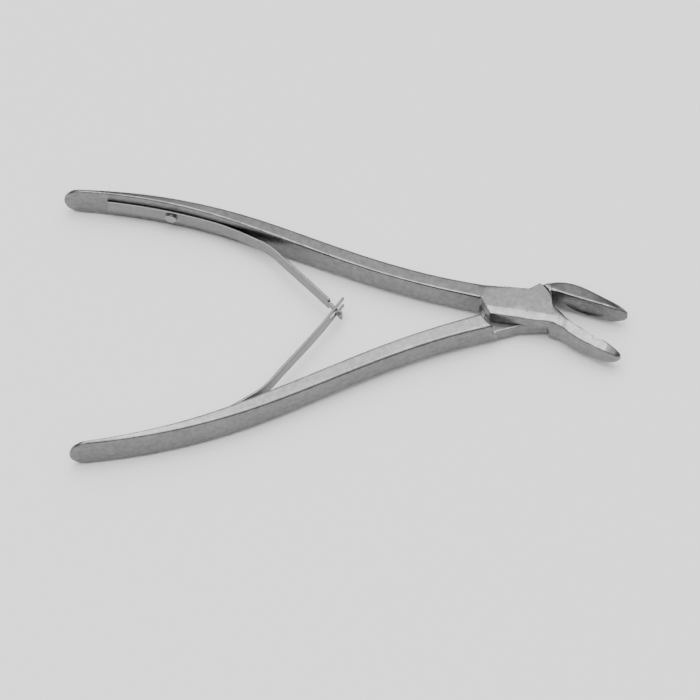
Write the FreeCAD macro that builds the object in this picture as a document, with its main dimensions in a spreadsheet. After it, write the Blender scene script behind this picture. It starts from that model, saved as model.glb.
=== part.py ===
"""Bone rongeur with a single pivot, lying flat.

Millimetres. The pivot axis is Z, its back face is at z = 0 and the jaws point along +X.
Each half carries one handle and the jaw on the other side of the instrument's axis.
The second half is drawn like the first and turned over about X, as the forgings are.
"""
import FreeCAD, Part
import Sketcher
import math
import os

V = FreeCAD.Vector
doc = FreeCAD.newDocument("bone_rongeur")
sheet = doc.addObject("Spreadsheet::Sheet", "Sizes")


class Size:
    """A number and the sheet formula that gives it."""

    def __init__(self, value, formula):
        self.value = value
        self.formula = formula

    def __add__(self, other):
        other = size(other)
        return Size(self.value + other.value, f"({self.formula} + {other.formula})")

    def __sub__(self, other):
        other = size(other)
        return Size(self.value - other.value, f"({self.formula} - {other.formula})")

    def __mul__(self, other):
        other = size(other)
        return Size(self.value * other.value, f"({self.formula} * {other.formula})")

    def __truediv__(self, other):
        other = size(other)
        return Size(self.value / other.value, f"({self.formula} / {other.formula})")

    def __neg__(self):
        return Size(-self.value, f"(-1 * {self.formula})")

    def root(self):
        return Size(math.sqrt(self.value), f"sqrt({self.formula})")

    def sine(self):
        return Size(math.sin(math.radians(self.value)), f"sin({self.formula} * 1 deg)")

    def cosine(self):
        return Size(math.cos(math.radians(self.value)), f"cos({self.formula} * 1 deg)")


def size(number):
    return number if isinstance(number, Size) else Size(float(number), repr(float(number)))


zero = size(0)
SMALLEST = 1e-9
row = 0


def cell(alias, value, note):
    """Write one driving dimension into the sheet."""
    global row
    row += 1
    sheet.set(f"A{row}", alias)
    sheet.set(f"B{row}", str(value))
    sheet.setAlias(f"B{row}", alias)
    sheet.set(f"C{row}", note)
    return Size(float(value), f"Sizes.{alias}")


def polar(reach, angle):
    """A point about the pivot, from its distance and its angle in degrees."""
    return reach * angle.cosine(), reach * angle.sine()


cut_over = cell("cut_over", 3.0, "how far a cutting shape runs past the metal")

# Lap joint
joint_depth = cell("joint_depth", 8.8, "both lap plates together, along the pivot")
lap_clearance = cell("lap_clearance", 0.1, "between the two lap plates")
lap_radius = cell("lap_radius", 9.2, "rounded end of a lap plate, about the pivot")
shoulder_clearance = cell("shoulder_clearance", 0.2, "round the rounded end of a lap plate")
handle_run_x = cell("handle_run_x", -9.6, "lap plate's outer edge where it runs into the handle")
handle_run_y = cell("handle_run_y", 7.0, "lap plate's outer edge where it runs into the handle")
plate_heel_x = cell("plate_heel_x", -11.4, "inner corner of a lap plate beside its handle")
plate_heel_y = cell("plate_heel_y", 3.0, "inner corner of a lap plate beside its handle")
plate_toe_x = cell("plate_toe_x", -9.0, "free corner of a lap plate towards the other handle")
plate_toe_y = cell("plate_toe_y", -2.6, "free corner of a lap plate towards the other handle")
step_low_x = cell("step_low_x", -13.6, "line of the step in the handle root")
step_low_y = cell("step_low_y", 0.28, "line of the step in the handle root")
step_high_x = cell("step_high_x", -6.7, "line of the step in the handle root")
step_high_y = cell("step_high_y", 8.8, "line of the step in the handle root")
relief_start_angle = cell("relief_start_angle", -64.2, "degrees, start of the shoulder's curve")
relief_end_angle = cell("relief_end_angle", 50.0, "degrees, end of the shoulder's curve")
upper_lap_start_angle = cell("upper_lap_start_angle", -2.0, "degrees, upper plate's rounded end")
upper_lap_end_angle = cell("upper_lap_end_angle", 50.15, "degrees, upper plate's rounded end")
lower_lap_start_angle = cell("lower_lap_start_angle", -24.0, "degrees, lower plate's rounded end")
lower_lap_end_angle = cell("lower_lap_end_angle", 31.3, "degrees, lower plate's rounded end")
crotch_x = cell("crotch_x", 10.5, "crotch between the upper lap plate and its jaw")
crotch_y = cell("crotch_y", -1.9, "crotch between the upper lap plate and its jaw")
waist_front_x = cell("waist_front_x", 2.7, "front end of the narrowest stretch of a plate")
waist_rear_x = cell("waist_rear_x", -0.5, "rear end of the narrowest stretch of a plate")
upper_waist = cell("upper_waist", 5.3, "edge of the upper lap plate beside the pivot")
upper_waist_rise = cell("upper_waist_rise", 0.4, "upper plate's edge rises towards the handle")
lower_waist = cell("lower_waist", 4.7, "edge of the lower lap plate beside the pivot")
upper_cheek_x = cell("upper_cheek_x", 8.0, "upper plate where it meets the back of its jaw")
upper_cheek_y = cell("upper_cheek_y", -6.2, "upper plate where it meets the back of its jaw")
upper_seam_back_x = cell("upper_seam_back_x", 10.4, "front of the upper plate inside the jaw")
upper_seam_back_y = cell("upper_seam_back_y", -7.45, "front of the upper plate inside the jaw")
upper_seam_edge_x = cell("upper_seam_edge_x", 10.9, "front of the upper plate inside the jaw")
upper_seam_edge_y = cell("upper_seam_edge_y", -3.2, "front of the upper plate inside the jaw")
lower_cheek_x = cell("lower_cheek_x", 5.0, "lower plate where it meets the back of its jaw")
lower_cheek_y = cell("lower_cheek_y", -6.0, "lower plate where it meets the back of its jaw")
lower_seam_back_x = cell("lower_seam_back_x", 8.0, "front of the lower plate inside the jaw")
lower_seam_back_y = cell("lower_seam_back_y", -6.9, "front of the lower plate inside the jaw")
lower_seam_x = cell("lower_seam_x", 9.0, "front of the lower plate inside the jaw")
lower_seam_y = cell("lower_seam_y", -4.7, "front of the lower plate at the biting edge")

# Sloping facet that runs over the outer face of a plate on to the back of its jaw
facet_tilt_angle = cell("facet_tilt_angle", 10.0, "degrees, slope of the facet")
facet_offset = cell("facet_offset", 2.02, "edge of the facet from the pivot")
upper_facet_angle = cell("upper_facet_angle", -11.8, "degrees, edge of the facet, upper plate")
lower_facet_angle = cell("lower_facet_angle", 8.0, "degrees, edge of the facet, lower plate")
facet_reach = cell("facet_reach", 16.0, "facet across the plate")
facet_lift = cell("facet_lift", 0.5, "facet's cutting shape over the face")

# Pivot rivet
pin_radius = cell("pin_radius", 2.0, "shank of the pivot rivet")
pin_clearance = cell("pin_clearance", 0.05, "between the rivet and the half that turns on it")
rivet_head_radius = cell("rivet_head_radius", 2.9, "rim of the countersunk rivet head")
rivet_head_height = cell("rivet_head_height", 0.9, "depth of the countersunk rivet head")

# Handles: the inner face follows a bow, then one long grip arc to the rear
grip_radius = cell("grip_radius", 163.53, "inner face of the grip")
grip_start_x = cell("grip_start_x", -76.0, "inner face where the grip arc begins")
grip_start_y = cell("grip_start_y", 28.197, "inner face where the grip arc begins")
grip_slope_angle = cell("grip_slope_angle", 24.617, "degrees, slope of the inner face there")
grip_centre_x = grip_start_x - grip_radius * grip_slope_angle.sine()
grip_centre_y = grip_start_y - grip_radius * grip_slope_angle.cosine()
palm_drop = cell("palm_drop", 0.28, "outer edge of a handle below its inner edge")
jaw_drop = cell("jaw_drop", 0.6, "edges of a jaw's back below its biting edges")
edge_break = cell("edge_break", 0.3, "broken inner edges of handles and jaws")
paddle_tip_x = cell("paddle_tip_x", -130.0, "rear end of a handle")
paddle_radius = cell("paddle_radius", 5.55, "rounded rear end of a handle")

# Station, inner face (on the grip arc where none is given), thickness, depth, palm rounding
stations = (
    ("root", -7.0, 1.4, 5.35, 8.7, 0.5),
    ("neck", -24.0, 6.4, 4.75, 8.6, 0.9),
    ("shank", -42.0, 12.95, 4.8, 8.5, 0.9),
    ("bow", -60.0, 20.95, 4.65, 9.1, 0.9),
    ("front_grip", -76.0, None, 4.15, 10.2, 0.85),
    ("mid_grip", -92.0, None, 3.0, 11.0, 0.7),
    ("rear_grip", -108.0, None, 2.0, 11.3, 0.5),
    ("paddle", -121.0, None, 1.3, 11.2, 0.4),
    ("rear_end", -131.0, None, 1.0, 11.1, 0.35),
)


def grip_arc_y(station_x):
    """Height of the grip arc over the instrument's axis at one station."""
    run = station_x - grip_centre_x
    return grip_centre_y + (grip_radius * grip_radius - run * run).root()


handle_sections = []
for name, at_x, at_y, thick, deep, rounding in stations:
    station_x = cell(f"{name}_x", at_x, "station along the handle")
    if at_y is None:
        inner_y = grip_arc_y(station_x)
    else:
        inner_y = cell(f"{name}_y", at_y, "inner face of the handle at the station")
    handle_sections.append((
        name,
        station_x,
        inner_y,
        cell(f"{name}_thick", thick, "handle in the plane of opening"),
        cell(f"{name}_deep", deep, "handle along the pivot axis"),
        cell(f"{name}_round", rounding, "palm edges at the station"),
    ))

# Jaws: station, biting edge, back, depth, rounding of the back
lower_jaw_stations = (
    ("lower_jaw_root", 9.6, -1.4, -7.2, 8.7, 0.3),
    ("lower_jaw_heel", 12.4, -3.9, -9.15, 8.7, 0.5),
    ("lower_jaw_back", 15.5, -7.1, -11.4, 8.6, 0.7),
    ("lower_jaw_mid", 19.3, -9.6, -13.6, 8.3, 0.7),
    ("lower_jaw_nose", 22.6, -11.85, -15.55, 7.5, 0.6),
    ("lower_jaw_beak", 25.2, -13.65, -16.6, 5.9, 0.5),
    ("lower_jaw_lip", 27.0, -14.95, -16.8, 3.9, 0.35),
    ("lower_jaw_tip", 27.9, -15.6, -16.5, 2.2, 0.2),
)
upper_jaw_stations = (
    ("upper_jaw_root", 5.6, -4.9, -6.3, 8.5, 0.3),
    ("upper_jaw_heel", 9.6, -4.3, -7.75, 8.7, 0.5),
    ("upper_jaw_back", 14.0, -2.6, -7.4, 8.7, 0.7),
    ("upper_jaw_mid", 18.5, -0.9, -5.6, 8.6, 0.7),
    ("upper_jaw_nose", 22.5, 0.5, -3.1, 8.5, 0.6),
    ("upper_jaw_beak", 26.0, 1.7, -1.1, 7.9, 0.5),
    ("upper_jaw_lip", 28.8, 2.4, 0.4, 5.9, 0.35),
    ("upper_jaw_tip", 30.6, 2.5, 1.35, 2.8, 0.2),
)

# Cups hollowed in the biting faces
cup_radius = cell("cup_radius", 3.75, "roundness of a cup across the jaw")
cup_length = cell("cup_length", 16.0, "cup along the jaw")
lower_cup_x = cell("lower_cup_x", 14.8, "rear end of the lower cup's axis")
lower_cup_y = cell("lower_cup_y", -5.3, "rear end of the lower cup's axis")
lower_cup_angle = cell("lower_cup_angle", -35.0, "degrees, along the lower jaw")
upper_cup_x = cell("upper_cup_x", 10.9, "rear end of the upper cup's axis, turned over")
upper_cup_y = cell("upper_cup_y", -2.6, "rear end of the upper cup's axis, turned over")
upper_cup_angle = cell("upper_cup_angle", 19.5, "degrees, along the upper jaw, turned over")

# Leaf springs and their screws
spring_thick = cell("spring_thick", 0.7, "leaf")
spring_wide = cell("spring_wide", 4.6, "leaf along the pivot axis")
spring_seat_gap = cell("spring_seat_gap", 0.12, "between a leaf and its handle")
spring_rear_x = cell("spring_rear_x", -117.5, "rear end of a leaf")
bend_radius = cell("bend_radius", 14.0, "outer face of the leaf where it leaves the handle")
screw_x = cell("screw_x", -99.0, "screw of a leaf")
screw_head_radius = cell("screw_head_radius", 1.75, "screw head")
screw_head_height = cell("screw_head_height", 0.75, "screw head")
screw_shank_radius = cell("screw_shank_radius", 0.9, "screw shank")
screw_hole_radius = cell("screw_hole_radius", 0.95, "hole for the screw in leaf and handle")
screw_length = cell("screw_length", 2.1, "shank under the head")
screw_end_gap = cell("screw_end_gap", 0.2, "bottom of the blind hole beyond the screw")
screw_seat_gap = cell("screw_seat_gap", 0.03, "under the head, as the leaf is hollow there")
upper_tip_x = cell("upper_tip_x", -50.9, "tip of the upper leaf")
upper_tip_y = cell("upper_tip_y", 0.7, "tip of the upper leaf")
upper_bend_x = cell("upper_bend_x", -73.5, "where the upper leaf leaves its handle")
lower_tip_x = cell("lower_tip_x", -50.3, "tip of the lower leaf, turned over")
lower_tip_y = cell("lower_tip_y", -5.2, "tip of the lower leaf, turned over")
lower_bend_x = cell("lower_bend_x", -77.0, "where the lower leaf leaves its handle")
neck_half = cell("neck_half", 0.9, "half the neck of the upper leaf")
neck_low_y = cell("neck_low_y", 1.7, "neck of the upper leaf next to its head")
neck_high_y = cell("neck_high_y", 4.9, "shoulders of the upper leaf")
head_half = cell("head_half", 1.9, "half the head of the upper leaf")
fork_half = cell("fork_half", 1.35, "half the gap of the lower leaf's fork")
fork_root_y = cell("fork_root_y", 0.4, "root of the fork, turned over")

mid = joint_depth / 2
doc.recompute()


def plane_of(body, role):
    """One of a body's own origin planes."""
    for feature in body.Origin.OriginFeatures:
        if feature.Role == role:
            return feature
    raise ValueError(role)


def bind(obj, path, value):
    obj.setExpression(path, value.formula)


def sketch_on(body, name, role, offset=None, shift=None, turn=None):
    """A sketch on an origin plane, lifted, shifted and turned by sizes of the sheet."""
    sketch = body.newObject("Sketcher::SketchObject", name)
    sketch.AttachmentSupport = [(plane_of(body, role), "")]
    sketch.MapMode = "FlatFace"
    if offset is not None:
        bind(sketch, "AttachmentOffset.Base.z", offset)
    if shift is not None:
        bind(sketch, "AttachmentOffset.Base.x", shift[0])
        bind(sketch, "AttachmentOffset.Base.y", shift[1])
    if turn is not None:
        bind(sketch, "AttachmentOffset.Rotation.Angle", turn)
    return sketch


def measure(sketch, kind, first, second, value, label):
    """A distance along X or Y between two points, bound to the sheet."""
    if value.value < 0:
        first, second, value = second, first, -value
    if value.value < SMALLEST:
        raise ValueError(f"{label} is zero")
    index = sketch.addConstraint(Sketcher.Constraint(kind, *first, *second, value.value))
    sketch.renameConstraint(index, label)
    sketch.setExpression(f"Constraints.{label}", value.formula)


def radius(sketch, geometry, value, label):
    index = sketch.addConstraint(Sketcher.Constraint("Radius", geometry, value.value))
    sketch.renameConstraint(index, label)
    sketch.setExpression(f"Constraints.{label}", value.formula)


def pin_point(sketch, point, at_x, at_y, label):
    """Hold a sketch point at two sizes from the sketch's origin."""
    for kind, axis, value in (("DistanceX", "x", at_x), ("DistanceY", "y", at_y)):
        if abs(value.value) < SMALLEST:
            line = -2 if axis == "x" else -1
            sketch.addConstraint(Sketcher.Constraint("PointOnObject", *point, line))
        else:
            measure(sketch, kind, (-1, 1), point, value, f"{label}_{axis}")


def outline(sketch, corners):
    """A closed outline through corners. A corner may carry the radius of an arc to the next."""
    count = len(corners)
    for index, point in enumerate(corners):
        after = corners[(index + 1) % count]
        start = V(point[0].value, point[1].value, 0)
        end = V(after[0].value, after[1].value, 0)
        if len(point) > 2:
            sketch.addGeometry(arc_between(start, end, point[2].value, point[3]), False)
        else:
            sketch.addGeometry(Part.LineSegment(start, end), False)
    for index, point in enumerate(corners):
        arc_turn = point[3] if len(point) > 3 else "left"
        start_pos = 1 if arc_turn == "left" else 2
        before = corners[index - 1]
        before_turn = before[3] if len(before) > 3 else "left"
        before_end = 2 if before_turn == "left" else 1
        sketch.addConstraint(Sketcher.Constraint(
            "Coincident", (index - 1) % count, before_end, index, start_pos))
        pin_point(sketch, (index, start_pos), point[0], point[1], f"corner_{index}")
        if len(point) > 2:
            radius(sketch, index, point[2], f"arc_{index}")


def arc_between(start, end, arc_radius, turn):
    """The shorter arc of a radius between two points, turning left or right on its way."""
    chord = end - start
    half = chord.Length / 2
    rise = math.sqrt(max(arc_radius ** 2 - half ** 2, 0.0))
    side = V(-chord.y, chord.x, 0).normalize()
    centre = (start + end) / 2 + side * (rise if turn == "left" else -rise)
    first, last = (start, end) if turn == "left" else (end, start)
    angle_first = math.atan2(first.y - centre.y, first.x - centre.x)
    angle_last = math.atan2(last.y - centre.y, last.x - centre.x)
    circle = Part.Circle(centre, V(0, 0, 1), arc_radius)
    return Part.ArcOfCircle(circle, angle_first, angle_last)


def rounded_section(body, name, station_x, inner_y, thick, deep, back_round, side, drop):
    """A section across X: flat inner face with broken edges, and a rounded back on one side."""
    sketch = sketch_on(body, f"{name}_section", "YZ_Plane", offset=station_x)
    face = inner_y.value
    back = face + side * thick.value
    high = deep.value / 2
    brk = edge_break.value
    reach = back_round.value
    centre = V(back - side * reach, high - drop.value - reach, 0)
    face_end = V(face, high - brk, 0)
    ridge = V(face + side * brk, high, 0)
    back_end = V(back, centre.y, 0)
    to_ridge = ridge - centre
    turn = math.atan2(to_ridge.y, to_ridge.x) - side * math.acos(reach / to_ridge.Length)
    touch = centre + V(math.cos(turn), math.sin(turn), 0) * reach

    def up(point):
        return V(point.x, mid.value + point.y, 0)

    def down(point):
        return V(point.x, mid.value - point.y, 0)

    def line(first, second):
        sketch.addGeometry(Part.LineSegment(first, second), False)
        return 1, 2

    def round_back(middle, first, second):
        """The back's corner arc. Sketch arcs run anticlockwise, so its ends may swap."""
        a = math.atan2(first.y - middle.y, first.x - middle.x)
        b = math.atan2(second.y - middle.y, second.x - middle.x)
        swapped = (b - a) % (2 * math.pi) > math.pi
        ends = (b, a) if swapped else (a, b)
        sketch.addGeometry(Part.ArcOfCircle(Part.Circle(middle, V(0, 0, 1), reach), *ends), False)
        return (2, 1) if swapped else (1, 2)

    runs = [
        line(down(face_end), up(face_end)),
        line(up(face_end), up(ridge)),
        line(up(ridge), up(touch)),
        round_back(up(centre), up(touch), up(back_end)),
        line(up(back_end), down(back_end)),
        round_back(down(centre), down(back_end), down(touch)),
        line(down(touch), down(ridge)),
        line(down(ridge), down(face_end)),
    ]
    for index, ends in enumerate(runs):
        after = (index + 1) % len(runs)
        kind = "Tangent" if index in (2, 3, 4, 5) else "Coincident"
        sketch.addConstraint(Sketcher.Constraint(kind, index, ends[1], after, runs[after][0]))
    sketch.addConstraint(Sketcher.Constraint("Vertical", 0))
    sketch.addConstraint(Sketcher.Constraint("Vertical", 4))
    radius(sketch, 3, back_round, "back_top_round")
    radius(sketch, 5, back_round, "back_low_round")
    measure(sketch, "DistanceX", (-1, 1), (0, 1), inner_y, "inner_face")
    measure(sketch, "DistanceX", (0, 1), (4, 1), thick * side, "thickness")
    measure(sketch, "DistanceY", (-1, 1), (2, 1), mid + deep / 2, "top")
    measure(sketch, "DistanceY", (6, 2), (2, 1), deep, "depth")
    measure(sketch, "DistanceX", (1, 1), (1, 2), edge_break * side, "top_break_across")
    measure(sketch, "DistanceY", (1, 1), (1, 2), edge_break, "top_break_down")
    measure(sketch, "DistanceX", (7, 2), (7, 1), edge_break * side, "low_break_across")
    measure(sketch, "DistanceY", (7, 1), (7, 2), edge_break, "low_break_up")
    measure(sketch, "DistanceY", (3, 3), (2, 1), back_round + drop, "top_fall")
    measure(sketch, "DistanceY", (6, 2), (5, 3), back_round + drop, "low_fall")
    return sketch


def loft(body, name, sections):
    feature = body.newObject("PartDesign::AdditiveLoft", name)
    feature.Profile = sections[0]
    feature.Sections = [(section, [""]) for section in sections[1:]]
    feature.Ruled = False
    return feature


def jaw_cells(table):
    """Sheet sizes of one jaw, from the root to the tip."""
    cells = []
    for name, at_x, edge, back, deep, rounding in table:
        edge_cell = cell(f"{name}_edge", edge, "biting edge")
        cells.append((
            name,
            cell(f"{name}_x", at_x, "station along the jaw"),
            edge_cell,
            cell(f"{name}_thick", round(edge - back, 3), "jaw from biting edge to back"),
            cell(f"{name}_deep", deep, "jaw along the pivot axis"),
            cell(f"{name}_round", rounding, "edges of the jaw's back"),
        ))
    return cells


def screw_frame():
    """Point on the grip arc under the screw, and the direction of the face's inward normal."""
    run = screw_x - grip_centre_x
    point_y = grip_arc_y(screw_x)
    angle = math.degrees(math.atan2(grip_centre_y.value - point_y.value, -run.value))
    turn = Size(angle, f"(-180 + asin({(point_y - grip_centre_y).formula}"
                       f" / {grip_radius.formula}) / 1 deg)")
    return point_y, turn


def turned_cut(body, name, shift, turn, corners):
    """Cut a turned hollow whose axis is the X axis of its own sketch."""
    sketch = sketch_on(body, f"{name}_profile", "XY_Plane", offset=mid, shift=shift, turn=turn)
    outline(sketch, corners)
    groove = body.newObject("PartDesign::Groove", name)
    groove.Profile = sketch
    groove.ReferenceAxis = (sketch, ["H_Axis"])
    groove.Angle = 360
    return groove


def lap_relief(body, label):
    """Take away the layer in which the other half's plate turns."""
    sketch = sketch_on(body, f"{label}_lap_outline", "XY_Plane")
    reach = lap_radius + shoulder_clearance
    start = polar(reach, relief_start_angle)
    end = polar(reach, relief_end_angle)
    outline(sketch, [
        (step_low_x, step_low_y),
        (step_low_x, start[1]),
        (*start, reach, "left"),
        end,
        (end[0], reach),
        (step_high_x, reach),
        (step_high_x, step_high_y),
    ])
    pocket = body.newObject("PartDesign::Pocket", f"{label}_lap")
    pocket.Profile = sketch
    pocket.Reversed = True
    bind(pocket, "Length", (joint_depth + lap_clearance) / 2)


def facet(body, label, angle):
    """Slope the plate's outer face down on the jaw's side of a line past the pivot."""
    sketch = sketch_on(body, f"{label}_facet_outline", "YZ_Plane")
    sketch.AttachmentOffset = FreeCAD.Placement(V(0, 0, 0), FreeCAD.Rotation(V(0, 1, 0), angle.value))
    bind(sketch, "AttachmentOffset.Rotation.Angle", angle)
    slope = facet_tilt_angle.sine() / facet_tilt_angle.cosine()
    far = -facet_offset - facet_reach
    outline(sketch, [
        (facet_lift / slope - facet_offset, joint_depth + facet_lift),
        (far, joint_depth + facet_lift),
        (far, joint_depth - facet_reach * slope),
    ])
    pocket = body.newObject("PartDesign::Pocket", f"{label}_facet")
    pocket.Profile = sketch
    pocket.Type = "ThroughAll"
    pocket.Midplane = True


def round_end(body, label):
    """Round the handle's rear end off, seen from the palm."""
    sketch = sketch_on(body, f"{label}_end_outline", "XZ_Plane")
    beyond = paddle_tip_x - cut_over
    centre_x = paddle_tip_x + paddle_radius
    low = mid - paddle_radius
    high = mid + paddle_radius
    outline(sketch, [
        (beyond, low - cut_over),
        (centre_x, low - cut_over),
        (centre_x, low, paddle_radius, "right"),
        (paddle_tip_x, mid, paddle_radius, "right"),
        (centre_x, high),
        (centre_x, high + cut_over),
        (beyond, high + cut_over),
    ])
    pocket = body.newObject("PartDesign::Pocket", f"{label}_end")
    pocket.Profile = sketch
    pocket.Type = "ThroughAll"
    pocket.Midplane = True


def rivet_bore(body, label, gap):
    """Countersunk bore for the pivot rivet."""
    sketch = sketch_on(body, f"{label}_bore_profile", "XZ_Plane")
    outline(sketch, [
        (zero, -cut_over),
        (pin_radius + gap, -cut_over),
        (pin_radius + gap, joint_depth - rivet_head_height),
        (rivet_head_radius + gap, joint_depth),
        (rivet_head_radius + gap, joint_depth + cut_over),
        (zero, joint_depth + cut_over),
    ])
    groove = body.newObject("PartDesign::Groove", f"{label}_bore")
    groove.Profile = sketch
    groove.ReferenceAxis = (sketch, ["V_Axis"])
    groove.Angle = 360


def half(label, jaw_table, plate_outline, facet_angle, cup_start, cup_angle, rivet_gap):
    """One forging: handle, lap plate and jaw, with the lap plate in the upper layer."""
    body = doc.addObject("PartDesign::Body", label)
    body.Label = label
    for stretch, table, side, drop in (
        ("handle", handle_sections, 1, palm_drop),
        ("jaw", jaw_table, -1, jaw_drop),
    ):
        loft(body, f"{label}_{stretch}", [
            rounded_section(body, f"{label}_{name}", *sizes, side, drop) for name, *sizes in table])
    plate = sketch_on(body, f"{label}_plate_outline", "XY_Plane")
    outline(plate, plate_outline)
    pad = body.newObject("PartDesign::Pad", f"{label}_plate")
    pad.Profile = plate
    bind(pad, "Length", joint_depth)
    lap_relief(body, label)
    facet(body, label, facet_angle)
    round_end(body, label)
    rivet_bore(body, label, rivet_gap)

    point_y, turn = screw_frame()
    hole_end = screw_length + screw_end_gap - spring_thick - spring_seat_gap
    turned_cut(body, f"{label}_screw_hole", (screw_x, point_y), turn, [
        (-hole_end, zero),
        (cut_over, zero),
        (cut_over, screw_hole_radius),
        (-hole_end, screw_hole_radius),
    ])
    bulge = (cup_radius * cup_radius + cup_length * cup_length / 4) / (cup_radius * 2)
    turned_cut(body, f"{label}_cup", cup_start, cup_angle, [
        (zero, zero),
        (cup_length, zero, bulge, "left"),
    ])
    return body


lower_jaw = jaw_cells(lower_jaw_stations)
upper_jaw = jaw_cells(upper_jaw_stations)
doc.recompute()

upper_outline = [
    (plate_heel_x, plate_heel_y),
    (plate_toe_x, plate_toe_y),
    (upper_cheek_x, upper_cheek_y),
    (upper_seam_back_x, upper_seam_back_y),
    (upper_seam_edge_x, upper_seam_edge_y),
    (crotch_x, crotch_y),
    (*polar(lap_radius, upper_lap_start_angle), lap_radius, "left"),
    polar(lap_radius, upper_lap_end_angle),
    (waist_front_x, upper_waist),
    (waist_rear_x, upper_waist + upper_waist_rise),
    (handle_run_x, handle_run_y),
]
lower_outline = [
    (plate_heel_x, plate_heel_y),
    (plate_toe_x, plate_toe_y),
    (lower_cheek_x, lower_cheek_y),
    (lower_seam_back_x, lower_seam_back_y),
    (lower_seam_x, lower_seam_back_y),
    (lower_seam_x, lower_seam_y),
    (*polar(lap_radius, lower_lap_start_angle), lap_radius, "left"),
    polar(lap_radius, lower_lap_end_angle),
    (waist_front_x, lower_waist),
    (waist_rear_x, lower_waist),
    (handle_run_x, handle_run_y),
]

upper_half = half("upper_handle_lower_jaw", lower_jaw, upper_outline, upper_facet_angle,
                  (lower_cup_x, lower_cup_y), lower_cup_angle, zero)
lower_half = half("lower_handle_upper_jaw", upper_jaw, lower_outline, lower_facet_angle,
                  (upper_cup_x, upper_cup_y), upper_cup_angle, pin_clearance)


def turn_over(body):
    """Lay a piece drawn like the upper one on the other side of the instrument's axis."""
    body.Placement = FreeCAD.Placement(V(0, 0, joint_depth.value), FreeCAD.Rotation(V(1, 0, 0), 180))
    bind(body, "Placement.Base.z", joint_depth)


turn_over(lower_half)

# Pivot rivet, ground flush on both faces
pin = doc.addObject("PartDesign::Body", "pivot_pin")
pin.Label = "pivot_pin"
pin_profile = sketch_on(pin, "pivot_pin_profile", "XZ_Plane")
outline(pin_profile, [
    (zero, zero),
    (rivet_head_radius, zero),
    (pin_radius, rivet_head_height),
    (pin_radius, joint_depth - rivet_head_height),
    (rivet_head_radius, joint_depth),
    (zero, joint_depth),
])
pin_turn = pin.newObject("PartDesign::Revolution", "pivot_pin_turned")
pin_turn.Profile = pin_profile
pin_turn.ReferenceAxis = (pin_profile, ["V_Axis"])
pin_turn.Angle = 360


def leaf_path(tip_x, tip_y, bend_x):
    """Points of the leaf's outer and inner edges, worked out from its sizes."""
    centre = V(grip_centre_x.value, grip_centre_y.value, 0)
    outer = grip_radius.value - spring_seat_gap.value
    inner = outer - spring_thick.value

    def on_arc(reach, at_x):
        rise = math.sqrt(outer ** 2 - (at_x - centre.x) ** 2)
        direction = V(at_x - centre.x, rise, 0).normalize()
        return centre + direction * reach, direction

    rear_out, rear_dir = on_arc(outer, spring_rear_x.value)
    bend_out, bend_dir = on_arc(outer, bend_x.value)
    bend_centre = bend_out - bend_dir * bend_radius.value
    tip = V(tip_x.value, tip_y.value, 0)
    to_tip = tip - bend_centre
    away = math.atan2(to_tip.y, to_tip.x)
    swing = math.acos(bend_radius.value / to_tip.Length)
    leave_dir = V(math.cos(away + swing), math.sin(away + swing), 0)
    thick = spring_thick.value
    return {
        "centre": centre, "outer": outer, "inner": inner,
        "rear_out": rear_out, "rear_in": centre + rear_dir * inner,
        "bend_out": bend_out, "bend_in": centre + bend_dir * inner,
        "bend_centre": bend_centre,
        "leave_out": bend_centre + leave_dir * bend_radius.value,
        "leave_in": bend_centre + leave_dir * (bend_radius.value - thick),
        "tip_out": tip, "tip_in": tip - leave_dir * thick,
    }


def leaf_arc(centre, reach, first, last):
    """Anticlockwise arc about a centre between two points."""
    a = math.atan2(first.y - centre.y, first.x - centre.x)
    b = math.atan2(last.y - centre.y, last.x - centre.x)
    return Part.ArcOfCircle(Part.Circle(centre, V(0, 0, 1), reach), a, b)


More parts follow.
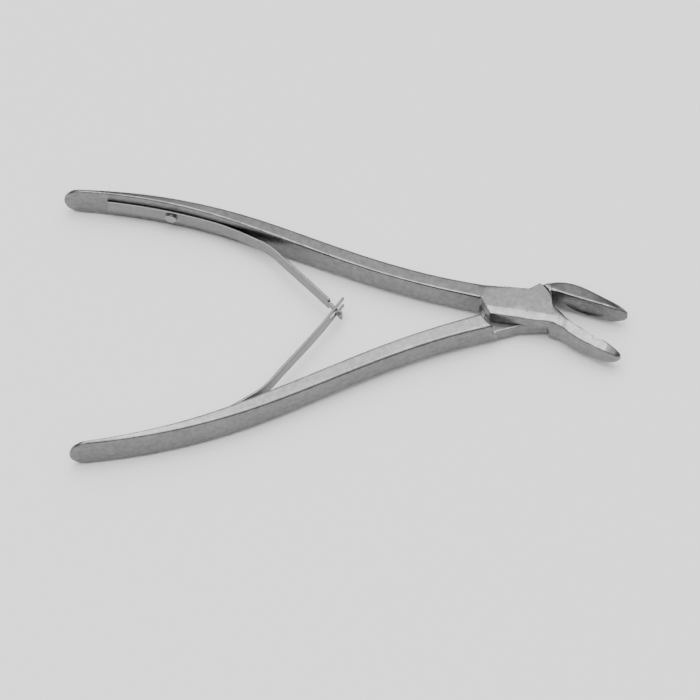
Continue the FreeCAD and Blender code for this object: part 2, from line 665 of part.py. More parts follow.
def leaf_spring(label, tip_x, tip_y, bend_x, slots):
    """A leaf that follows the grip arc, bends away and runs straight to its tip."""
    body = doc.addObject("PartDesign::Body", label)
    body.Label = label
    sketch = sketch_on(body, f"{label}_edge", "XY_Plane", offset=mid)
    p = leaf_path(tip_x, tip_y, bend_x)
    sketch.addGeometry(leaf_arc(p["centre"], p["outer"], p["bend_out"], p["rear_out"]), False)
    sketch.addGeometry(leaf_arc(p["bend_centre"], bend_radius.value, p["leave_out"], p["bend_out"]), False)
    sketch.addGeometry(Part.LineSegment(p["leave_out"], p["tip_out"]), False)
    sketch.addGeometry(Part.LineSegment(p["tip_out"], p["tip_in"]), False)
    sketch.addGeometry(Part.LineSegment(p["tip_in"], p["leave_in"]), False)
    sketch.addGeometry(leaf_arc(p["bend_centre"], bend_radius.value - spring_thick.value,
                                p["leave_in"], p["bend_in"]), False)
    sketch.addGeometry(leaf_arc(p["centre"], p["inner"], p["bend_in"], p["rear_in"]), False)
    sketch.addGeometry(Part.LineSegment(p["rear_in"], p["rear_out"]), False)
    join = Sketcher.Constraint
    for rule in (
        join("Tangent", 0, 1, 1, 2),
        join("Tangent", 1, 1, 2, 1),
        join("Coincident", 2, 2, 3, 1),
        join("Coincident", 3, 2, 4, 1),
        join("Tangent", 4, 2, 5, 1),
        join("Tangent", 5, 2, 6, 1),
        join("Coincident", 6, 2, 7, 1),
        join("Coincident", 7, 2, 0, 2),
        join("Coincident", 0, 3, 6, 3),
        join("Coincident", 1, 3, 5, 3),
        join("Parallel", 2, 4),
        join("Perpendicular", 2, 3),
        join("PointOnObject", 0, 3, 7),
    ):
        sketch.addConstraint(rule)
    pin_point(sketch, (0, 3), grip_centre_x, grip_centre_y, "centre")
    radius(sketch, 0, grip_radius - spring_seat_gap, "outer_reach")
    radius(sketch, 6, grip_radius - spring_seat_gap - spring_thick, "inner_reach")
    radius(sketch, 1, bend_radius, "bend")
    measure(sketch, "DistanceX", (-1, 1), (0, 2), spring_rear_x, "rear")
    measure(sketch, "DistanceX", (-1, 1), (0, 1), bend_x, "bend_start")
    pin_point(sketch, (2, 2), tip_x, tip_y, "tip")
    pad = body.newObject("PartDesign::Pad", f"{label}_leaf")
    pad.Profile = sketch
    pad.Midplane = True
    bind(pad, "Length", spring_wide)
    point_y, turn = screw_frame()
    turned_cut(body, f"{label}_hole", (screw_x, point_y), turn, [
        (-cut_over, zero),
        (cut_over, zero),
        (cut_over, screw_hole_radius),
        (-cut_over, screw_hole_radius),
    ])
    for number, corners in enumerate(slots):
        slot = sketch_on(body, f"{label}_slot_{number}", "YZ_Plane")
        outline(slot, corners)
        cut = body.newObject("PartDesign::Pocket", f"{label}_slot_cut_{number}")
        cut.Profile = slot
        cut.Type = "ThroughAll"
        cut.Midplane = True
    return body


side_clear = spring_wide / 2 + cut_over


def beside_neck(sign):
    """Metal cut away beside the neck and the head, on one side of the leaf."""
    return [
        (neck_low_y, mid + neck_half * sign),
        (neck_high_y, mid + neck_half * sign),
        (neck_high_y, mid + side_clear * sign),
        (upper_tip_y - cut_over, mid + side_clear * sign),
        (upper_tip_y - cut_over, mid + head_half * sign),
        (neck_low_y, mid + head_half * sign),
    ]


fork_gap = [
    (fork_root_y, mid - fork_half),
    (fork_root_y, mid + fork_half),
    (lower_tip_y - cut_over, mid + fork_half),
    (lower_tip_y - cut_over, mid - fork_half),
]

upper_spring = leaf_spring("upper_leaf_spring", upper_tip_x, upper_tip_y, upper_bend_x,
                           [beside_neck(1), beside_neck(-1)])
lower_spring = leaf_spring("lower_leaf_spring", lower_tip_x, lower_tip_y, lower_bend_x, [fork_gap])
turn_over(lower_spring)


def spring_screw(label, over):
    """A cheese-head screw through a leaf into its handle, drawn along X and laid in place."""
    body = doc.addObject("PartDesign::Body", label)
    body.Label = label
    sketch = sketch_on(body, f"{label}_profile", "XY_Plane")
    outline(sketch, [
        (-screw_length, zero),
        (screw_head_height, zero),
        (screw_head_height, screw_head_radius),
        (zero, screw_head_radius),
        (zero, screw_shank_radius),
        (-screw_length, screw_shank_radius),
    ])
    turned = body.newObject("PartDesign::Revolution", f"{label}_turned")
    turned.Profile = sketch
    turned.ReferenceAxis = (sketch, ["H_Axis"])
    turned.Angle = 360
    point_y, turn = screw_frame()
    stand = spring_thick + spring_seat_gap + screw_seat_gap
    along_x = (grip_centre_x - screw_x) / grip_radius
    along_y = (grip_centre_y - point_y) / grip_radius
    seat_x = screw_x + along_x * stand
    seat_y = point_y + along_y * stand
    if over:
        seat_y = -seat_y
        turn = -turn
    body.Placement = FreeCAD.Placement(V(seat_x.value, seat_y.value, mid.value),
                                       FreeCAD.Rotation(V(0, 0, 1), turn.value))
    bind(body, "Placement.Base.x", seat_x)
    bind(body, "Placement.Base.y", seat_y)
    bind(body, "Placement.Base.z", mid)
    bind(body, "Placement.Rotation.Angle", turn)
    return body


upper_screw = spring_screw("upper_spring_screw", False)
lower_screw = spring_screw("lower_spring_screw", True)

pieces = [upper_half, lower_half, pin, upper_spring, lower_spring, upper_screw, lower_screw]
doc.recompute()

for obj in doc.Objects:
    if "Invalid" in obj.State or "Error" in obj.State:
        raise RuntimeError(f"{obj.Label}: {obj.State}")
for piece in pieces:
    shape = piece.Shape
    if shape.isNull() or not shape.isValid() or shape.Volume <= 0:
        raise RuntimeError(f"{piece.Label} has no valid solid")
    print(piece.Label, "solids", len(shape.Solids), "volume", round(shape.Volume, 2),
          "box", [round(n, 2) for n in (shape.BoundBox.XMin, shape.BoundBox.YMin, shape.BoundBox.ZMin,
                                        shape.BoundBox.XMax, shape.BoundBox.YMax, shape.BoundBox.ZMax)])

os.makedirs("parts", exist_ok=True)
for piece in pieces:
    piece.Shape.exportStep(f"parts/{piece.Label}.step")
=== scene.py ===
import bmesh
import bpy
import math
from mathutils import Matrix, Vector


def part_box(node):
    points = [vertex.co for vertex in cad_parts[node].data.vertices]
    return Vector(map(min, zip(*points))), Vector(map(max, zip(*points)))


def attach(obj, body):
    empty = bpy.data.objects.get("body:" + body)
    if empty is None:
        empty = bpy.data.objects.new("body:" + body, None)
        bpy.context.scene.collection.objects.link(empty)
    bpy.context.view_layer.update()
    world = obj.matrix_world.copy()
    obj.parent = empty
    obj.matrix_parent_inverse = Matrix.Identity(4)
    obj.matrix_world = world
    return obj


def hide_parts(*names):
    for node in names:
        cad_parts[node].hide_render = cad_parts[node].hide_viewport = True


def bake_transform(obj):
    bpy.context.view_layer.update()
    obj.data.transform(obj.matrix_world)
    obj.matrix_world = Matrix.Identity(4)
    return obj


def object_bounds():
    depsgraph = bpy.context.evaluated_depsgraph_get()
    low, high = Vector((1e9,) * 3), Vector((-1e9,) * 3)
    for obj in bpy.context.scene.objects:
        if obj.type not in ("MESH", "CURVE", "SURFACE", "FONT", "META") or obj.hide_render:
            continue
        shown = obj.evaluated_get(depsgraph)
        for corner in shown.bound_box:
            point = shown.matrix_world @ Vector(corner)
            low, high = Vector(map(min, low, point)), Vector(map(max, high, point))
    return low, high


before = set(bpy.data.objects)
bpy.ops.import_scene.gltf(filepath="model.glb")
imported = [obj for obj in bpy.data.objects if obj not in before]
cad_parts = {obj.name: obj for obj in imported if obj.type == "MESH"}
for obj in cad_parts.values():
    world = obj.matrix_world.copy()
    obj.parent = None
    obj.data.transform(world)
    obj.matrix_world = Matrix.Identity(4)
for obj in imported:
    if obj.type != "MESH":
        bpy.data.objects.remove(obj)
cad_low, cad_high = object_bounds()

MM = 0.001
scene = bpy.context.scene

# Measuring the CAD nodes: how near counts as the same place, and as the same direction
NEAR = 0.01 * MM
WELD = 0.001 * MM
DIRECTION_DIGITS = 2

# Camera: the photograph's angle, from above the front, through a long lens
CAMERA_AZIMUTH = math.radians(-2.0)
CAMERA_ELEVATION = math.radians(58.0)
CAMERA_DISTANCE = 2.4
CAMERA_TARGET = Vector((-49.27, -11.05, 4.4)) * MM
FIELD_WIDTH = 200.0 * MM
SENSOR_MM = 36.0
CLIP_START = 0.05
CLIP_END = 20.0

# Room light: a bright soft ceiling that falls off towards the horizon, as steps of
# how far a direction leans to the ceiling's middle (0 across it, 1 along it) and its glow
CEILING_LEAN = Vector((0.0, 0.10, 1.0)).normalized()
CEILING_STEPS = (
    (0.0, 0.2),
    (0.50, 0.45),
    (0.70, 1.2),
    (0.80, 1.9),
    (0.90, 1.9),
    (0.95, 5.2),
    (1.0, 9.5),
)

# Key light: one weak soft lamp to the left
KEY_PLACE = Vector((-0.45, -0.25, 1.3))
KEY_SIZE = (0.7, 0.5)
KEY_POWER = 2.0

# Floor
FLOOR_HALF_WIDTH = 3.0
FLOOR_GAP = 0.05 * MM
FLOOR_WHITE = 0.93
FLOOR_ROUGHNESS = 0.9

# Steel finishes: grey, roughness, and how far the mottled haze shifts the tone
BODY_FINISH = (0.18, 0.31, 0.18)
SPRING_FINISH = (0.2, 0.33, 0.10)
SCREW_FINISH = (0.27, 0.28, 0.05)

# What all the steels share: clouds, haze and fine grain, from wide to narrow
BLUE_CAST = 1.005
TONE_HEADROOM = 2.0
NOISE_MIDDLE = (0.3, 0.7)
CLOUD_SCALE = 70.0
CLOUD_DETAIL = 3.0
CLOUD_TONES = (0.95, 1.05)
HAZE_SCALE = 650.0
HAZE_DETAIL = 4.0
GRAIN_SCALE = 2600.0
GRAIN_DETAIL = 5.0
GRAIN_STRENGTH = 0.14
GRAIN_DEPTH = 0.05 * MM
GRAIN_SMOOTHER = 0.05
GRAIN_ROUGHER = 0.06

# Polished pieces: size of the skin's grid, rounds of smoothing, share of the skin's faces kept
FORGING_SKIN = (0.2 * MM, 4, 0.3)
LEAF_SKIN = (0.11 * MM, 2, 0.35)
SMOOTH_SHARE = 0.5

# Where a forging's surfaces run into each other, in millimetres:
# centre, reach in x, y and z, rounds of smoothing, axes that it works along
UPPER_BLENDS = (
    ((-8.5, 6.0, 9.0), (4.5, 2.8, 1.2), 120, "z"),
    ((11.0, -3.8, 8.6), (2.6, 3.8, 2.2), 120, "xyz"),
    ((10.6, -8.8, 4.0), (6.0, 4.2, 6.5), 320, "xy"),
    ((20.8, -9.9, 4.4), (4.5, 2.6, 6.5), 150, "xy"),
    ((-1.5, -3.0, 9.0), (8.0, 1.8, 1.2), 60, "z"),
)
LOWER_BLENDS = (
    ((-8.5, -6.0, -0.2), (4.5, 2.8, 1.2), 120, "z"),
    ((-8.5, -5.5, 9.0), (3.5, 2.6, 1.2), 120, "z"),
    ((9.0, 6.2, 9.0), (2.2, 2.8, 1.6), 80, "z"),
    ((8.0, 7.6, 4.4), (3.0, 1.4, 6.0), 60, "xy"),
    ((20.5, -0.4, 4.4), (9.5, 3.4, 4.4), 60, "xyz"),
)

# Where a leaf swings clear of its handle in one long soft bend: centre in x, half-length,
# rise in y, and how blunt the crest of the rise is
UPPER_LEAF_SWING = (-69.5 * MM, 18.0 * MM, -1.6 * MM)
LOWER_LEAF_SWING = (-73.0 * MM, 19.0 * MM, 2.8 * MM)
LEAF_SWING_CREST = 1.5

# Painted shade in the upper jaw's cup: its colour is darkened where the hollow falls in shade.
# Centre, reach, where the painted shade fades out as a share of the reach, and the share of the
# colour left inside it
CUP_SHADE_CENTRE = Vector((22.5, -1.0, 4.2)) * MM
CUP_SHADE_REACH = Vector((11.0, 3.4, 5.6)) * MM
CUP_SHADE_FADE = (0.6, 1.1)
CUP_SHADED_TONE = 0.8

# The biting face that it is ground into: a line through a point, seen from above, and the
# span in x that it covers. Skin that faces the bite by more than CUP_FACING, and lies no
# deeper than the cup's deepest place, keeps a share of its depth.
BITE_POINT = Vector((12.6, 3.2, 0.0)) * MM
BITE_ANGLE = math.radians(-21.4)
BITE_SPAN = (12.5 * MM, 27.6 * MM)
CUP_DEEPEST = 3.4 * MM
CUP_DEPTH_KEPT = 0.4
CUP_FACING = 0.1

# Screw heads: rounded rim, low dome with a shoulder at a share of its radius and drop,
# and a driver slot whose cutter is as long as this many head radii
SCREW_RIM = 0.14 * MM
SCREW_DOME = 0.10 * MM
SCREW_DOME_SHOULDER = (0.6, 0.3)
SCREW_SLOT_WIDTH = 0.42 * MM
SCREW_SLOT_DEPTH = 0.40 * MM
SCREW_SLOT_LENGTH = 3
SCREW_SEGMENTS = 48
SCREW_EDGE_DEGREES = 35

# Rivet: its ends stand a hair over the plates, with a fine broken edge
RIVET_PROUD = 0.012 * MM
RIVET_EDGE = 0.07 * MM
RIVET_SEGMENTS = 96
RIVET_EDGE_DEGREES = 30

# Plug that closes the rivet's bore in the upper forging's skin: its width over the
# rivet's own, and how far above the rivet's middle it starts
PLUG_WIDTH = 1.04
PLUG_FOOT = 1.0 * MM

# The facet along the upper plate, which the rivet's top end is ground down with: its
# direction seen from above, its tilt, and how far from the pivot it starts
FACET_ANGLE = math.radians(-11.8)
FACET_TILT = math.radians(10.0)
FACET_OFFSET = 2.02 * MM


def make_camera():
    """The camera at the photograph's viewing angle."""
    data = bpy.data.cameras.new("camera")
    data.sensor_width = SENSOR_MM
    data.lens = SENSOR_MM * CAMERA_DISTANCE / FIELD_WIDTH
    data.clip_start = CLIP_START
    data.clip_end = CLIP_END
    camera = bpy.data.objects.new("camera", data)
    scene.collection.objects.link(camera)
    back = Vector((
        math.sin(CAMERA_AZIMUTH) * math.cos(CAMERA_ELEVATION),
        -math.cos(CAMERA_AZIMUTH) * math.cos(CAMERA_ELEVATION),
        math.sin(CAMERA_ELEVATION),
    ))
    camera.location = CAMERA_TARGET + back * CAMERA_DISTANCE
    camera.rotation_mode = "QUATERNION"
    camera.rotation_quaternion = (-back).to_track_quat("-Z", "Y")
    scene.camera = camera


def make_ceiling():
    """The ceiling's glow, set by how far a direction leans to its middle."""
    world = bpy.data.worlds.new("studio")
    world.use_nodes = True
    nodes, links = world.node_tree.nodes, world.node_tree.links
    background = nodes["Background"]
    coords = nodes.new("ShaderNodeTexCoord")
    lean = nodes.new("ShaderNodeVectorMath")
    lean.operation = "DOT_PRODUCT"
    lean.inputs[1].default_value = CEILING_LEAN
    links.new(coords.outputs["Generated"], lean.inputs[0])
    ramp = nodes.new("ShaderNodeFloatCurve")
    curve = ramp.mapping.curves[0]
    top = CEILING_STEPS[-1][1]
    curve.points[0].location = (CEILING_STEPS[0][0], CEILING_STEPS[0][1] / top)
    curve.points[1].location = (CEILING_STEPS[-1][0], 1.0)
    for at, glow in CEILING_STEPS[1:-1]:
        curve.points.new(at, glow / top)
    ramp.mapping.update()
    links.new(lean.outputs["Value"], ramp.inputs["Value"])
    scale = nodes.new("ShaderNodeMath")
    scale.operation = "MULTIPLY"
    scale.inputs[1].default_value = top
    links.new(ramp.outputs["Value"], scale.inputs[0])
    links.new(scale.outputs["Value"], background.inputs["Strength"])
    background.inputs["Color"].default_value = (1.0, 1.0, 1.0, 1.0)
    scene.world = world


def make_key_light():
    data = bpy.data.lights.new("key", "AREA")
    data.shape = "RECTANGLE"
    data.size, data.size_y = KEY_SIZE
    data.energy = KEY_POWER
    key = bpy.data.objects.new("key", data)
    key.location = KEY_PLACE
    key.rotation_mode = "QUATERNION"
    key.rotation_quaternion = (CAMERA_TARGET - KEY_PLACE).to_track_quat("-Z", "Y")
    scene.collection.objects.link(key)


def make_floor():
    half = FLOOR_HALF_WIDTH
    z = cad_low.z - FLOOR_GAP
    corners = [(-half, -half, z), (half, -half, z), (half, half, z), (-half, half, z)]
    mesh = bpy.data.meshes.new("floor")
    mesh.from_pydata(corners, [], [(0, 1, 2, 3)])
    floor = bpy.data.objects.new("floor", mesh)
    scene.collection.objects.link(floor)
    material = bpy.data.materials.new("floor_white")
    material.use_nodes = True
    shader = material.node_tree.nodes["Principled BSDF"]
    shader.inputs["Base Color"].default_value = (FLOOR_WHITE, FLOOR_WHITE, FLOOR_WHITE, 1.0)
    shader.inputs["Roughness"].default_value = FLOOR_ROUGHNESS
    mesh.materials.append(material)


def node_noise(nodes, links, coords, scale, detail):
    noise = nodes.new("ShaderNodeTexNoise")
    noise.inputs["Scale"].default_value = scale
    noise.inputs["Detail"].default_value = detail
    links.new(coords.outputs["Object"], noise.inputs["Vector"])
    return noise.outputs["Fac"]


def node_range(nodes, links, source, low, high):
    """Stretch a noise's middle over a range of values."""
    span = nodes.new("ShaderNodeMapRange")
    span.inputs["From Min"].default_value = NOISE_MIDDLE[0]
    span.inputs["From Max"].default_value = NOISE_MIDDLE[1]
    span.inputs["To Min"].default_value = low
    span.inputs["To Max"].default_value = high
    links.new(source, span.inputs["Value"])
    return span.outputs["Result"]


def node_multiply(nodes, links, first, second):
    product = nodes.new("ShaderNodeMath")
    product.operation = "MULTIPLY"
    links.new(first, product.inputs[0])
    links.new(second, product.inputs[1])
    return product.outputs["Value"]


def painted_cup_shade(nodes, links, coords):
    """Painted shade in and around the cup: the share of the colour left, 1 away from it."""
    offset = nodes.new("ShaderNodeVectorMath")
    offset.operation = "SUBTRACT"
    offset.inputs[1].default_value = CUP_SHADE_CENTRE
    links.new(coords.outputs["Object"], offset.inputs[0])
    share = nodes.new("ShaderNodeVectorMath")
    share.operation = "DIVIDE"
    share.inputs[1].default_value = CUP_SHADE_REACH
    links.new(offset.outputs["Vector"], share.inputs[0])
    length = nodes.new("ShaderNodeVectorMath")
    length.operation = "LENGTH"
    links.new(share.outputs["Vector"], length.inputs[0])
    fade = nodes.new("ShaderNodeMapRange")
    fade.interpolation_type = "SMOOTHSTEP"
    fade.inputs["From Min"].default_value = CUP_SHADE_FADE[0]
    fade.inputs["From Max"].default_value = CUP_SHADE_FADE[1]
    fade.inputs["To Min"].default_value = CUP_SHADED_TONE
    fade.inputs["To Max"].default_value = 1.0
    links.new(length.outputs["Value"], fade.inputs["Value"])
    return fade.outputs["Result"]


def steel(name, grey, roughness, mottle, cup=False):
    """Satin steel: clouded tone, mottled haze and a fine blasted grain; with cup set, also
    painted shade in the upper jaw's cup.
    """
    material = bpy.data.materials.new(name)
    material.use_nodes = True
    nodes, links = material.node_tree.nodes, material.node_tree.links
    shader = nodes["Principled BSDF"]
    shader.inputs["Metallic"].default_value = 1.0
    coords = nodes.new("ShaderNodeTexCoord")
    cloud_noise = node_noise(nodes, links, coords, CLOUD_SCALE, CLOUD_DETAIL)
    cloud = node_range(nodes, links, cloud_noise, *CLOUD_TONES)
    haze_noise = node_noise(nodes, links, coords, HAZE_SCALE, HAZE_DETAIL)
    haze = node_range(nodes, links, haze_noise, 1.0 - mottle, 1.0 + mottle)
    tone = node_multiply(nodes, links, cloud, haze)
    # With cup set, painted shade: the colour darkens in and around the upper jaw's cup, where
    # the hollow falls in shade
    if cup:
        tone = node_multiply(nodes, links, tone, painted_cup_shade(nodes, links, coords))
    # A mix stops at 1 and the tone goes above it, so the tone is scaled down and the grey up
    bright = grey * TONE_HEADROOM
    tint = nodes.new("ShaderNodeMix")
    tint.data_type = "RGBA"
    tint.inputs["A"].default_value = (0.0, 0.0, 0.0, 1.0)
    tint.inputs["B"].default_value = (bright, bright, bright * BLUE_CAST, 1.0)
    share = nodes.new("ShaderNodeMath")
    share.operation = "MULTIPLY"
    share.inputs[1].default_value = 1.0 / TONE_HEADROOM
    links.new(tone, share.inputs[0])
    links.new(share.outputs["Value"], tint.inputs["Factor"])
    links.new(tint.outputs["Result"], shader.inputs["Base Color"])
    fine = node_noise(nodes, links, coords, GRAIN_SCALE, GRAIN_DETAIL)
    gloss = node_range(nodes, links, fine, roughness - GRAIN_SMOOTHER, roughness + GRAIN_ROUGHER)
    links.new(gloss, shader.inputs["Roughness"])
    bump = nodes.new("ShaderNodeBump")
    bump.inputs["Strength"].default_value = GRAIN_STRENGTH
    bump.inputs["Distance"].default_value = GRAIN_DEPTH
    links.new(fine, bump.inputs["Height"])
    links.new(bump.outputs["Normal"], shader.inputs["Normal"])
    return material


def new_piece(name, mesh):
    piece = bpy.data.objects.new(name, mesh)
    scene.collection.objects.link(piece)
    return piece


def welded(node_name):
    """A CAD node's mesh with its seams welded, ready for editing."""
    mesh = bmesh.new()
    mesh.from_mesh(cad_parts[node_name].data)
    bmesh.ops.remove_doubles(mesh, verts=mesh.verts, dist=WELD)
    return mesh


def add_bmesh(piece, extra):
    """Add a second closed shape to a piece."""
    mesh = bmesh.new()
    mesh.from_mesh(piece.data)
    spare = bpy.data.meshes.new("spare")
    extra.to_mesh(spare)
    mesh.from_mesh(spare)
    mesh.to_mesh(piece.data)
    mesh.free()
    bpy.data.meshes.remove(spare)


def apply_modifiers(piece):
    """Keep what a piece's modifiers make of its mesh, and drop them."""
    graph = bpy.context.evaluated_depsgraph_get()
    done = bpy.data.meshes.new_from_object(piece.evaluated_get(graph))
    piece.modifiers.clear()
    old = piece.data
    piece.data = done
    bpy.data.meshes.remove(old)


def set_finish(piece, material, edge_degrees=None):
    """Give a piece its material and slot, with edges sharper than the angle left crisp."""
    mesh = piece.data
    mesh.materials.clear()
    mesh.materials.append(material)
    mesh.shade_smooth()
    if edge_degrees is not None:
        mesh.set_sharp_from_angle(angle=math.radians(edge_degrees))


def soften(piece, number, centre, reach, rounds, axes):
    """Smooth one neighbourhood of a piece, in full in its inner half and fading outside it."""
    group = piece.vertex_groups.new(name=f"blend_{number}")
    centre = Vector(centre) * MM
    for vertex in piece.data.vertices:
        offset = vertex.co - centre
        share = max(abs(offset[axis]) / (reach[axis] * MM) for axis in range(3))
        if share < 1:
            weight = min(1.0, 2.0 * (1 - share))
            group.add([vertex.index], weight * weight * (3 - 2 * weight), "REPLACE")
    smooth = piece.modifiers.new(f"blend_{number}", "SMOOTH")
    smooth.vertex_group = group.name
    smooth.factor = SMOOTH_SHARE
    smooth.iterations = rounds
    smooth.use_x, smooth.use_y, smooth.use_z = ("x" in axes, "y" in axes, "z" in axes)


def ease_cup(piece):
    """Make the cup of the upper jaw a soft shallow hollow."""
    inward = Vector((-math.sin(BITE_ANGLE), math.cos(BITE_ANGLE), 0.0))
    first, last = BITE_SPAN
    facing = [vertex.index for vertex in piece.data.vertices
              if first < vertex.co.x < last and vertex.normal.dot(inward) < -CUP_FACING]
    for vertex in (piece.data.vertices[index] for index in facing):
        depth = (vertex.co - BITE_POINT).dot(inward)
        if 0 < depth < CUP_DEEPEST:
            vertex.co -= inward * depth * (1 - CUP_DEPTH_KEPT)


def polish(piece, skin, blends=(), cup=False):
    """Give a solid one seamless skin with soft edges."""
    voxel, rounds, kept = skin
    remesh = piece.modifiers.new("skin", "REMESH")
    remesh.mode = "VOXEL"
    remesh.voxel_size = voxel
    apply_modifiers(piece)
    if cup:
        ease_cup(piece)
    for number, blend in enumerate(blends):
        soften(piece, number, *blend)
    smooth = piece.modifiers.new("polish", "SMOOTH")
    smooth.factor = SMOOTH_SHARE
    smooth.iterations = rounds
    thin = piece.modifiers.new("thin", "DECIMATE")
    thin.ratio = kept
    apply_modifiers(piece)
    piece.vertex_groups.clear()


def cut_to_facet(shape, top):
    """Grind a closed shape on the pivot down to the upper plate's facet."""
    aside = Vector((math.sin(FACET_ANGLE), -math.cos(FACET_ANGLE), 0.0))
    place = aside * FACET_OFFSET + Vector((0.0, 0.0, top))
    normal = aside * math.sin(FACET_TILT) + Vector((0.0, 0.0, math.cos(FACET_TILT)))
    cut = bmesh.ops.bisect_plane(
        shape, geom=[*shape.verts, *shape.edges, *shape.faces],
        plane_co=place, plane_no=normal, clear_outer=True,
    )
    rim = [part for part in cut["geom_cut"] if isinstance(part, bmesh.types.BMEdge)]
    bmesh.ops.contextual_create(shape, geom=rim)


def forging(name, node_name, body, material, blends, rivet_name=None, cup=False):
    """One half: handle, plate and jaw. A rivet ground flush with it leaves no hole."""
    shape = welded(node_name)
    piece = new_piece(name, bpy.data.meshes.new(name))
    shape.to_mesh(piece.data)
    shape.free()
    if rivet_name:
        plug = welded(rivet_name)
        rivet_low, rivet_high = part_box(rivet_name)
        middle = (rivet_low + rivet_high) / 2
        for vertex in plug.verts:
            vertex.co.x = middle.x + (vertex.co.x - middle.x) * PLUG_WIDTH
            vertex.co.y = middle.y + (vertex.co.y - middle.y) * PLUG_WIDTH
            vertex.co.z = max(vertex.co.z, middle.z + PLUG_FOOT)
        cut_to_facet(plug, rivet_high.z)
        add_bmesh(piece, plug)
        plug.free()
    polish(piece, FORGING_SKIN, blends, cup)
    set_finish(piece, material)
    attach(piece, body)
    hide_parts(node_name)


def leaf(name, node_name, swing):
    """One leaf spring, bowed clear of its handle in one long soft bend."""
    shape = welded(node_name)
    piece = new_piece(name, bpy.data.meshes.new(name))
    shape.to_mesh(piece.data)
    shape.free()
    polish(piece, LEAF_SKIN)
    centre, half_length, rise = swing
    for vertex in piece.data.vertices:
        share = min(1.0, abs(vertex.co.x - centre) / half_length)
        vertex.co.y += rise * (1 - share ** LEAF_SWING_CREST) ** 2
    set_finish(piece, spring_steel)
    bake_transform(piece)
    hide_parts(node_name)


def turned(profile, segments):
    """A closed solid turned about Z from (radius, height) points, first and last on the axis."""
    shape = bmesh.new()
    rings = []
    for radius, height in profile:
        if radius == 0:
            rings.append([shape.verts.new((0, 0, height))])
            continue
        rings.append([
            shape.verts.new((radius * math.cos(turn), radius * math.sin(turn), height))
            for turn in (2 * math.pi * step / segments for step in range(segments))
        ])
    for lower, upper in zip(rings, rings[1:]):
        for step in range(segments):
            after = (step + 1) % segments
            corners = [lower[step % len(lower)], lower[after % len(lower)],
                       upper[after % len(upper)], upper[step % len(upper)]]
            shape.faces.new(list(dict.fromkeys(corners)))
    bmesh.ops.recalc_face_normals(shape, faces=shape.faces)
    return shape


def screw_sizes(node_name):
    """A screw's axis, crown, head and shank radius, seat and foot, measured on its CAD node.

    The crown is the middle of its largest flat face; seat and foot are heights from there.
    """
    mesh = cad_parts[node_name].data
    areas = {}
    for face in mesh.polygons:
        direction = tuple(round(part, DIRECTION_DIGITS) for part in face.normal)
        areas.setdefault(direction, []).append(face)
    top = max(areas.values(), key=lambda faces: sum(face.area for face in faces))
    area = sum(face.area for face in top)
    axis = sum((face.normal * face.area for face in top), Vector()).normalized()
    crown = sum((face.center * face.area for face in top), Vector()) / area
    offsets = [vertex.co - crown for vertex in mesh.vertices]
    along = [offset.dot(axis) for offset in offsets]
    across = [(offset - axis * depth).length for offset, depth in zip(offsets, along)]
    head_radius = max(across)
    foot = min(along)
    seat = min(depth for depth, reach in zip(along, across) if reach > head_radius - NEAR)
    shank_radius = max(reach for depth, reach in zip(along, across) if depth < foot + NEAR)
    return axis, crown, head_radius, shank_radius, seat, foot


def slotted_screw(name, node_name, body):
    """A cheese-head screw with a low dome and a driver slot."""
    axis, crown, head_radius, shank_radius, seat, foot = screw_sizes(node_name)
    profile = [
        (0, foot),
        (shank_radius, foot),
        (shank_radius, seat),
        (head_radius - SCREW_RIM / 2, seat),
        (head_radius, seat + SCREW_RIM / 2),
        (head_radius, -SCREW_RIM - SCREW_DOME),
        (head_radius - SCREW_RIM / 3, -SCREW_RIM / 3 - SCREW_DOME),
        (head_radius - SCREW_RIM, -SCREW_DOME),
        (head_radius * SCREW_DOME_SHOULDER[0], -SCREW_DOME * SCREW_DOME_SHOULDER[1]),
        (0, 0),
    ]
    shape = turned(profile, SCREW_SEGMENTS)
    mesh = bpy.data.meshes.new(name)
    shape.to_mesh(mesh)
    shape.free()
    piece = new_piece(name, mesh)

    # The slot is cut with a block that lies half above the crown
    groove = bmesh.new()
    bmesh.ops.create_cube(groove, size=1.0)
    for vertex in groove.verts:
        vertex.co.x *= SCREW_SLOT_WIDTH
        vertex.co.y *= head_radius * SCREW_SLOT_LENGTH
        vertex.co.z *= SCREW_SLOT_DEPTH * 2
    groove_mesh = bpy.data.meshes.new("groove")
    groove.to_mesh(groove_mesh)
    groove.free()
    cutter = new_piece("groove", groove_mesh)
    cut = piece.modifiers.new("slot", "BOOLEAN")
    cut.operation = "DIFFERENCE"
    cut.object = cutter
    cut.solver = "EXACT"
    apply_modifiers(piece)
    bpy.data.objects.remove(cutter)
    bpy.data.meshes.remove(groove_mesh)

    turn = axis.to_track_quat("Z", "X").to_matrix().to_4x4()
    piece.data.transform(Matrix.Translation(crown) @ turn)
    set_finish(piece, screw_steel, edge_degrees=SCREW_EDGE_DEGREES)
    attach(piece, body)
    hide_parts(node_name)


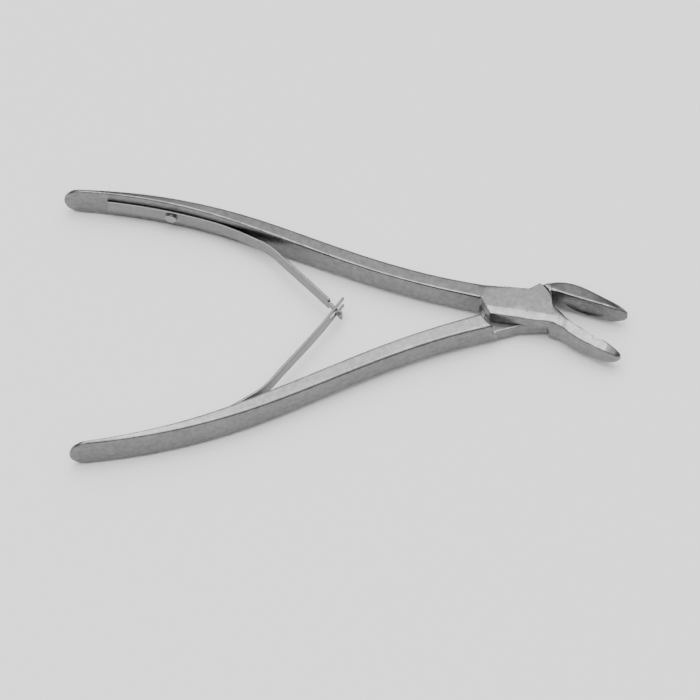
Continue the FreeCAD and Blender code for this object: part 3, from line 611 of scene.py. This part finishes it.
def rivet(name, node_name, body):
    """The rivet, its two countersunk ends ground flush with the plates."""
    low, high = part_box(node_name)
    middle = (low + high) / 2
    head = (high.x - low.x) / 2
    # The rivet's outline, without what lies near its axis
    offsets = [vertex.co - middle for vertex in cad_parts[node_name].data.vertices]
    rims = [(math.hypot(offset.x, offset.y), abs(offset.z)) for offset in offsets]
    rims = [(reach, rise) for reach, rise in rims if reach > head / 2]
    shank = min(reach for reach, rise in rims)
    neck = max(rise for reach, rise in rims if reach < shank + NEAR)
    top = (high.z - low.z) / 2 + RIVET_PROUD
    side = [(shank, 0), (shank, neck), (head, top - RIVET_EDGE), (head - RIVET_EDGE, top)]
    underside = [(reach, -rise) for reach, rise in reversed(side)]
    profile = [(0, -top)] + underside + side[1:] + [(0, top)]
    shape = turned(profile, RIVET_SEGMENTS)
    shape.transform(Matrix.Translation(middle))
    cut_to_facet(shape, high.z + RIVET_PROUD)
    mesh = bpy.data.meshes.new(name)
    shape.to_mesh(mesh)
    shape.free()
    piece = new_piece(name, mesh)
    set_finish(piece, body_steel, edge_degrees=RIVET_EDGE_DEGREES)
    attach(piece, body)
    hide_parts(node_name)


make_camera()
make_ceiling()
make_key_light()
make_floor()

body_steel = steel("satin_steel_finish", *BODY_FINISH)
# The same steel with painted shade darkening the upper jaw's cup
cup_shaded_steel = steel("cup_shaded_steel_finish", *BODY_FINISH, cup=True)
spring_steel = steel("spring_steel_finish", *SPRING_FINISH)
screw_steel = steel("screw_steel_finish", *SCREW_FINISH)

forging("upper_forging", "upper_handle_lower_jaw", "upper_half", body_steel,
        UPPER_BLENDS, rivet_name="pivot_pin")
forging("lower_forging", "lower_handle_upper_jaw", "lower_half", cup_shaded_steel,
        LOWER_BLENDS, cup=True)
rivet("flush_rivet", "pivot_pin", "upper_half")
leaf("upper_leaf", "upper_leaf_spring", UPPER_LEAF_SWING)
leaf("lower_leaf", "lower_leaf_spring", LOWER_LEAF_SWING)
slotted_screw("upper_screw", "upper_spring_screw", "upper_half")
slotted_screw("lower_screw", "lower_spring_screw", "lower_half")
